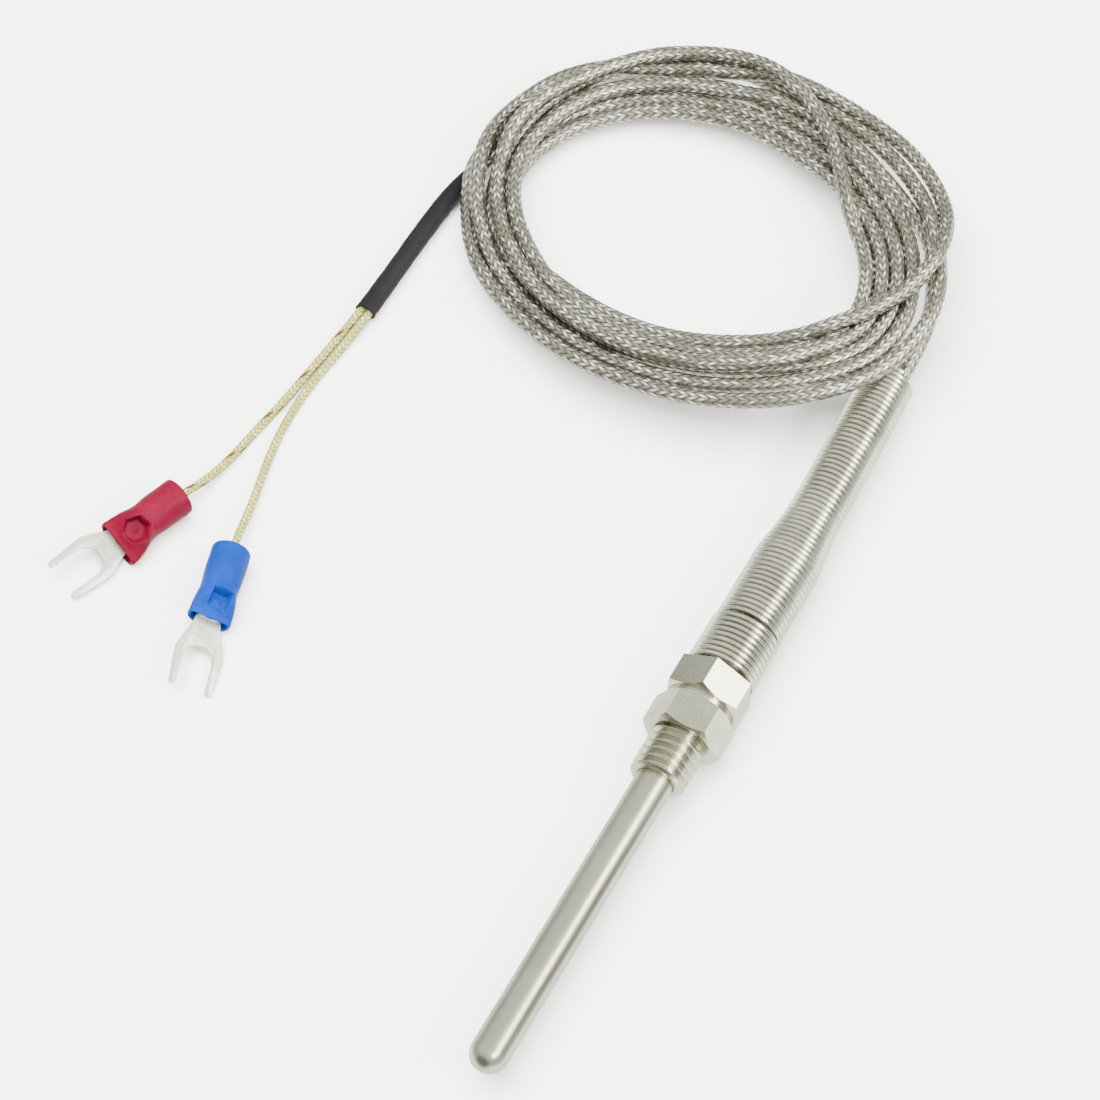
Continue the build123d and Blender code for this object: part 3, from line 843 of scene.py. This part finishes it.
def turned_metal(name, dark, light, rough, grain=(1, 1, 1), round_edges=0.00012, streaks=0.25,
                 grain_scale=900.0, relief=0.000004, metallic=1.0):
    """Machined metal: fine tool marks drawn out by grain, faint stains, and softly broken edges."""
    s = Shader(name)
    marks = s.noise(s.place(grain), grain_scale, 4.0, 0.6)
    stains = s.noise(s.place(), 160.0, 3.0, 0.6)
    fine = s.noise(s.place(grain), 2600.0, 2.0, 0.5)
    shade = s.math("ADD", s.math("MULTIPLY", marks, streaks), s.math("MULTIPLY", stains, 1 - streaks))
    color = s.mix(s.ramp(shade, 0.32, 0.68), (*dark, 1), (*light, 1))
    roughness = s.ramp(marks, 0.3, 0.7, rough * 0.85, rough * 1.15)
    roughness = s.math("ADD", roughness, s.ramp(fine, 0.4, 0.8, 0.0, 0.05))
    edge = s.node("ShaderNodeBevel", samples=4)
    edge.inputs["Radius"].default_value = round_edges
    normal = s.bump(marks, 0.5, relief, edge.outputs[0])
    s.finish(color, roughness, normal, Metallic=metallic)


TRACER_PITCH = 8.3
TRACER_HALF_WIDTH = 0.075  # in pitches
TRACER_COLOR = (0.055, 0.010, 0.005, 1)


def tracer_share(s, along, around, columns):
    """Where one coloured strand lies on top: a helix that dives under the others again and again."""
    helix = s.math("FRACT", s.math("ADD", s.math("DIVIDE", along, TRACER_PITCH), around))
    off = s.math("ABSOLUTE", s.math("SUBTRACT", helix, 0.5))
    line = s.math("LESS_THAN", off, TRACER_HALF_WIDTH)
    over = s.math("SUBTRACT", s.math("MULTIPLY", around, columns / 2), 0.27)
    return s.math("MULTIPLY", line, s.math("LESS_THAN", s.math("FRACT", over), 0.62))


def braid(name, columns, pitch, dark, light, rough, metallic, sparkle, relief, traced=False):
    """Herringbone braid that follows the mesh's relief: ridges of parallel strands, with painted shade
    between them and between the wires, painted highlights on the ridges' crests, and painted glints that vary
    at random from one crossing to the next. A metal's bright painted glints are also less metallic."""
    s = Shader(name)
    uv = s.node("ShaderNodeUVMap", uv_map="uv")
    parts = s.node("ShaderNodeSeparateXYZ")
    s.link(uv.outputs[0], parts.inputs[0])
    along, around = parts.outputs[0], parts.outputs[1]
    cells = s.math("MULTIPLY", around, float(columns))
    zigzag = s.math("MULTIPLY", s.math("PINGPONG", cells, 1.0), BRAID_LEAN)
    phase = s.math("ADD", s.math("DIVIDE", along, pitch), zigzag)
    ridge = s.math("ABSOLUTE", s.math("SINE", s.math("MULTIPLY", phase, math.pi)))
    column = s.math("ABSOLUTE", s.math("SINE", s.math("MULTIPLY", around, math.pi * columns)))
    across = s.math("MULTIPLY", s.math("POWER", column, COLUMN_ROUNDNESS), 1 - COLUMN_FLOOR)
    across = s.math("ADD", across, COLUMN_FLOOR)
    height = s.math("MULTIPLY", s.math("POWER", ridge, RIDGE_ROUNDNESS), across)
    strands = s.math("ABSOLUTE", s.math("SINE", s.math("MULTIPLY", phase, math.pi * STRANDS)))
    cell = s.node("ShaderNodeCombineXYZ")
    s.link(s.math("FLOOR", phase), cell.inputs[0])
    s.link(s.math("FLOOR", cells), cell.inputs[1])
    # Painted glints: each crossing gets a random brightness, mixed with a slow random drift, standing in for
    # strands that catch the lamps.
    chance = s.node("ShaderNodeTexWhiteNoise", noise_dimensions="2D")
    s.link(cell.outputs[0], chance.inputs["Vector"])
    drift = s.math("MULTIPLY", s.noise(s.place(), 90.0, 3.0, 0.6), 1 - sparkle)
    tone_and_glint = s.math("ADD", s.math("MULTIPLY", chance.outputs["Value"], sparkle), drift)
    # Painted highlight: brightest on each ridge's crest and each column's middle, where the round strands
    # would mirror the lamps.
    crest_highlight = s.math("MULTIPLY", s.math("POWER", ridge, 5.0), s.math("POWER", column, 2.0))
    crest_highlight = s.math("ADD", s.math("MULTIPLY", crest_highlight, 0.88), 0.12)
    tone_and_glint = s.math("MULTIPLY", s.ramp(tone_and_glint, 0.42, 0.72, 0.18, 1.0), crest_highlight)
    # Painted shade between the fine wires of each ridge, lighter on each wire.
    tone_and_glint = s.math("MULTIPLY", tone_and_glint, s.math("ADD", s.math("MULTIPLY", strands, 0.3), 0.7))
    # Painted shade: in the low places between the ridges and columns the colour falls to this darker one.
    crevice_shade = (dark[0] * 0.35, dark[1] * 0.35, dark[2] * 0.33, 1)
    color = s.mix(s.ramp(height, 0.05, 0.55), crevice_shade, s.mix(tone_and_glint, (*dark, 1), (*light, 1)))
    if traced:
        seen = s.math("MULTIPLY", tracer_share(s, along, around, columns), s.ramp(height, 0.1, 0.35))
        color = s.mix(seen, color, TRACER_COLOR)
    if metallic:
        # Where the painted glints are brightest, the metal is less metallic, so they show as colour.
        shine = s.math("SUBTRACT", metallic, s.math("MULTIPLY", tone_and_glint, 0.5 * metallic))
        s.link(shine, s.surface.inputs["Metallic"])
    roughness = s.ramp(height, 0.1, 0.9, rough + 0.25, rough)
    wires = s.math("ADD", height, s.math("MULTIPLY", strands, 0.12))
    s.finish(color, roughness, s.bump(wires, 0.8, relief))


def plastic(name, dark, light, rough, grain, relief, **fixed):
    """Plastic, resin or ceramic: faintly clouded, with a fine grain in its gloss and relief."""
    s = Shader(name)
    cloud = s.noise(s.place(), 120.0, 3.0, 0.6)
    pores = s.noise(s.place(), grain, 3.0, 0.6)
    shade = s.math("ADD", s.math("MULTIPLY", cloud, 0.7), s.math("MULTIPLY", pores, 0.3))
    color = s.mix(s.ramp(shade, 0.35, 0.65), (*dark, 1), (*light, 1))
    roughness = s.ramp(pores, 0.3, 0.7, rough - 0.05, rough + 0.08)
    s.finish(color, roughness, s.bump(pores, 0.6, relief), Metallic=0.0, **fixed)


DRAWN_ALONG_Y = (1.0, 0.02, 1.0)
# In each braid, light is the colour of the brightest painted glints and highlights, and dark the colour they
# fall from.
STEEL_BRAID = dict(
    columns=CABLE_COLUMNS, pitch=CABLE_PITCH, dark=(0.275, 0.27, 0.215), light=(0.97, 0.96, 0.90),
    rough=0.27, metallic=1.0, sparkle=0.75, relief=0.00007)
GLASS_BRAID = dict(
    columns=LEAD_COLUMNS, pitch=LEAD_PITCH, dark=(0.25, 0.235, 0.055), light=(0.66, 0.65, 0.31),
    rough=0.62, metallic=0.0, sparkle=0.65, relief=0.00004)
MATT_VINYL = dict(rough=0.42, grain=1500.0, relief=0.000012, Specular_IOR_Level=0.08)
turned_metal("stainless_sheath", (0.42, 0.42, 0.345), (0.50, 0.50, 0.42), 0.28, grain=DRAWN_ALONG_Y,
             round_edges=0.00005, streaks=0.35, grain_scale=1400.0, relief=0.0000001)
turned_metal("nickel_plated_brass", (0.40, 0.40, 0.31), (0.60, 0.60, 0.485), 0.22,
             streaks=0.5, grain_scale=3800.0, relief=0.000003)
turned_metal("stainless_washer", (0.5, 0.49, 0.46), (0.7, 0.68, 0.64), 0.25)
turned_metal("spring_wire", (0.50, 0.50, 0.42), (0.70, 0.70, 0.60), 0.21,
             round_edges=0.00002, streaks=0.3, grain_scale=1500.0, relief=0.000002)
turned_metal("tinned_copper", (0.50, 0.50, 0.45), (0.80, 0.80, 0.76), 0.34, round_edges=0.00005,
             streaks=0.5, grain_scale=1500.0, relief=0.000012, metallic=0.75)
turned_metal("thermocouple_alloy", (0.45, 0.42, 0.36), (0.6, 0.57, 0.5), 0.35)
braid("steel_braid", **STEEL_BRAID)
braid("glass_braid", **GLASS_BRAID)
braid("traced_braid", **GLASS_BRAID, traced=True)
plastic("black_heat_shrink", (0.0024, 0.0023, 0.0027), (0.0048, 0.0046, 0.0052), 0.7, 1800.0, 0.00002,
        Specular_IOR_Level=0.3)
plastic("red_vinyl", (0.078, 0.0012, 0.0095), (0.105, 0.002, 0.0145), **MATT_VINYL)
plastic("blue_vinyl", (0.0, 0.021, 0.17), (0.0, 0.030, 0.22), **MATT_VINYL)
plastic("insulator_ceramic", (0.72, 0.69, 0.62), (0.82, 0.79, 0.72), 0.6, 900.0, 0.00001)
plastic("magnesia_powder", (0.68, 0.66, 0.62), (0.85, 0.83, 0.8), 0.9, 2500.0, 0.00005)
plastic("potting_resin", (0.10, 0.05, 0.025), (0.16, 0.09, 0.05), 0.3, 300.0, 0.00001)
for dressed, look in (
        (cable, "steel_braid"), (lead_pieces["lead_red"][0], "traced_braid"),
        (lead_pieces["lead_blue"][0], "glass_braid"), (shrink, "black_heat_shrink"), (spring, "spring_wire"),
        (sleeve_red, "red_vinyl"), (sleeve_blue, "blue_vinyl"),
        (fork_red, "tinned_copper"), (fork_blue, "tinned_copper")):
    dress(dressed, look)
# The cable's inner nodes have no braid's UV map, so they get plain looks
INNER_CABLE = ("core_positive", "core_negative", "cable_in_spring")
for part in frame["record"]["subparts"]:
    look = part["material_slot"]
    if part["node"] in INNER_CABLE:
        look = "potting_resin" if look == "glass_braid" else "thermocouple_alloy"
    dress_node(part["node"], look)


# ---------------------------------------------------------------- floor and light
MIDDLE = Vector((-0.03, 0.03, 0.0))
FLOOR_MIDDLE = (-0.035, 0.03)
FLOOR_RADIUS = 3.0
FLOOR_GAP = 0.00005


def floor():
    """A plain pale disc. The metal mirrors the studio's own lower half in place of it."""
    turns = [2 * math.pi * k / 64 for k in range(64)]
    corners = [(FLOOR_MIDDLE[0] + FLOOR_RADIUS * math.cos(t), FLOOR_MIDDLE[1] + FLOOR_RADIUS * math.sin(t),
                FLOOR * MM - FLOOR_GAP) for t in turns]
    mesh = bpy.data.meshes.new("floor")
    mesh.from_pydata(corners, [], [tuple(range(64))])
    made = bpy.data.objects.new("floor", mesh)
    bpy.context.scene.collection.objects.link(made)
    s = Shader("floor")
    color = s.mix(s.noise(s.place(), 40.0, 2.0, 0.5), (0.90, 0.90, 0.90, 1), (0.92, 0.92, 0.92, 1))
    s.finish(color, Roughness=0.9, Specular_IOR_Level=0.1)
    dress(made, "floor")
    made.visible_glossy = False


floor()


def softbox(name, place, size, power, tint=(1, 1, 1)):
    """A rectangular lamp that faces the object's middle."""
    data = bpy.data.lights.new(name, "AREA")
    data.shape = "RECTANGLE"
    data.size, data.size_y = size
    data.energy = power
    data.color = tint
    lamp = bpy.data.objects.new(name, data)
    lamp.location = place
    lamp.rotation_euler = (MIDDLE - place).to_track_quat("-Z", "Y").to_euler()
    bpy.context.scene.collection.objects.link(lamp)
    return lamp


KEY_SIDE = Vector((0.62, 0.47, 0.63)).normalized()
STRIP_SIDE = Vector((0.72, -0.12, 0.675)).normalized()
LAMP_DISTANCE = 1.1
softbox("key", MIDDLE + KEY_SIDE * LAMP_DISTANCE, (0.36, 0.36), 5.2, (1.0, 0.93, 0.78))
# Long and narrow, for the highlights along the sheath, the spring, the thread and the cable
softbox("strip", MIDDLE + STRIP_SIDE * LAMP_DISTANCE, (0.95, 0.24), 17.0, (1.0, 0.98, 0.94))
overhead = softbox("overhead", MIDDLE + Vector((-0.2, -0.1, 1.5)), (1.6, 1.6), 150.0)
overhead.visible_glossy = False


# Height from -1 straight down to 1 straight up, and the shade seen there
SKY_BANDS = [(-1.0, 0.52), (-0.62, 0.56), (-0.40, 0.82), (-0.20, 0.24),
             (0.08, 0.20), (0.30, 0.14), (0.52, 0.28), (1.0, 0.31)]
SKY_WARMTH = 0.93
SKY_STRENGTH = 5.0
# Direction, where each opening starts and ends as a cosine, and its shade
DARK_OPENINGS = [
    ((0.86, 0.47, 0.16), 0.89, 0.99, (0.10, 0.098, 0.085)),
    ((-0.15, -0.98, 0.02), 0.70, 0.95, (0.06, 0.059, 0.05)),
    ((-0.62, 0.45, -0.64), 0.93, 0.99, (0.36, 0.36, 0.33)),
]


def sky():
    """A grey studio: lighter below and overhead, darker between, and with a few darker openings."""
    world = bpy.data.worlds.new("studio")
    bpy.context.scene.world = world
    world.use_nodes = True
    tree = world.node_tree
    backdrop = tree.nodes["Background"]
    coordinates = tree.nodes.new("ShaderNodeTexCoord")
    split = tree.nodes.new("ShaderNodeSeparateXYZ")
    ramp = tree.nodes.new("ShaderNodeValToRGB")
    tree.links.new(coordinates.outputs["Generated"], split.inputs[0])
    level = tree.nodes.new("ShaderNodeMapRange")
    level.inputs["From Min"].default_value = -1.0
    tree.links.new(split.outputs["Z"], level.inputs[0])
    tree.links.new(level.outputs[0], ramp.inputs[0])
    stops = ramp.color_ramp.elements
    stops[0].position, stops[1].position = 0.0, 1.0
    for position, _ in SKY_BANDS[1:-1]:
        stops.new((position + 1) / 2)
    for stop, (_, shade) in zip(stops, SKY_BANDS):
        stop.color = (shade, shade, shade * SKY_WARMTH, 1)
    color = ramp.outputs[0]
    for direction, near, far, shade in DARK_OPENINGS:
        toward = tree.nodes.new("ShaderNodeVectorMath")
        toward.operation = "DOT_PRODUCT"
        toward.inputs[1].default_value = Vector(direction).normalized()
        tree.links.new(coordinates.outputs["Generated"], toward.inputs[0])
        opening = tree.nodes.new("ShaderNodeMapRange")
        opening.interpolation_type = "SMOOTHSTEP"
        for socket, number in zip(opening.inputs[1:5], (near, far, 0.0, 1.0)):
            socket.default_value = number
        tree.links.new(toward.outputs["Value"], opening.inputs[0])
        mix = tree.nodes.new("ShaderNodeMix")
        mix.data_type = "RGBA"
        tree.links.new(opening.outputs[0], mix.inputs[0])
        tree.links.new(color, mix.inputs[6])
        mix.inputs[7].default_value = (*shade, 1)
        color = mix.outputs[2]
    tree.links.new(color, backdrop.inputs[0])
    backdrop.inputs["Strength"].default_value = SKY_STRENGTH


sky()

for lead_name, tin, cover in (("lead_red", fork_red, sleeve_red), ("lead_blue", fork_blue, sleeve_blue)):
    piece, line, marks = lead_pieces[lead_name]
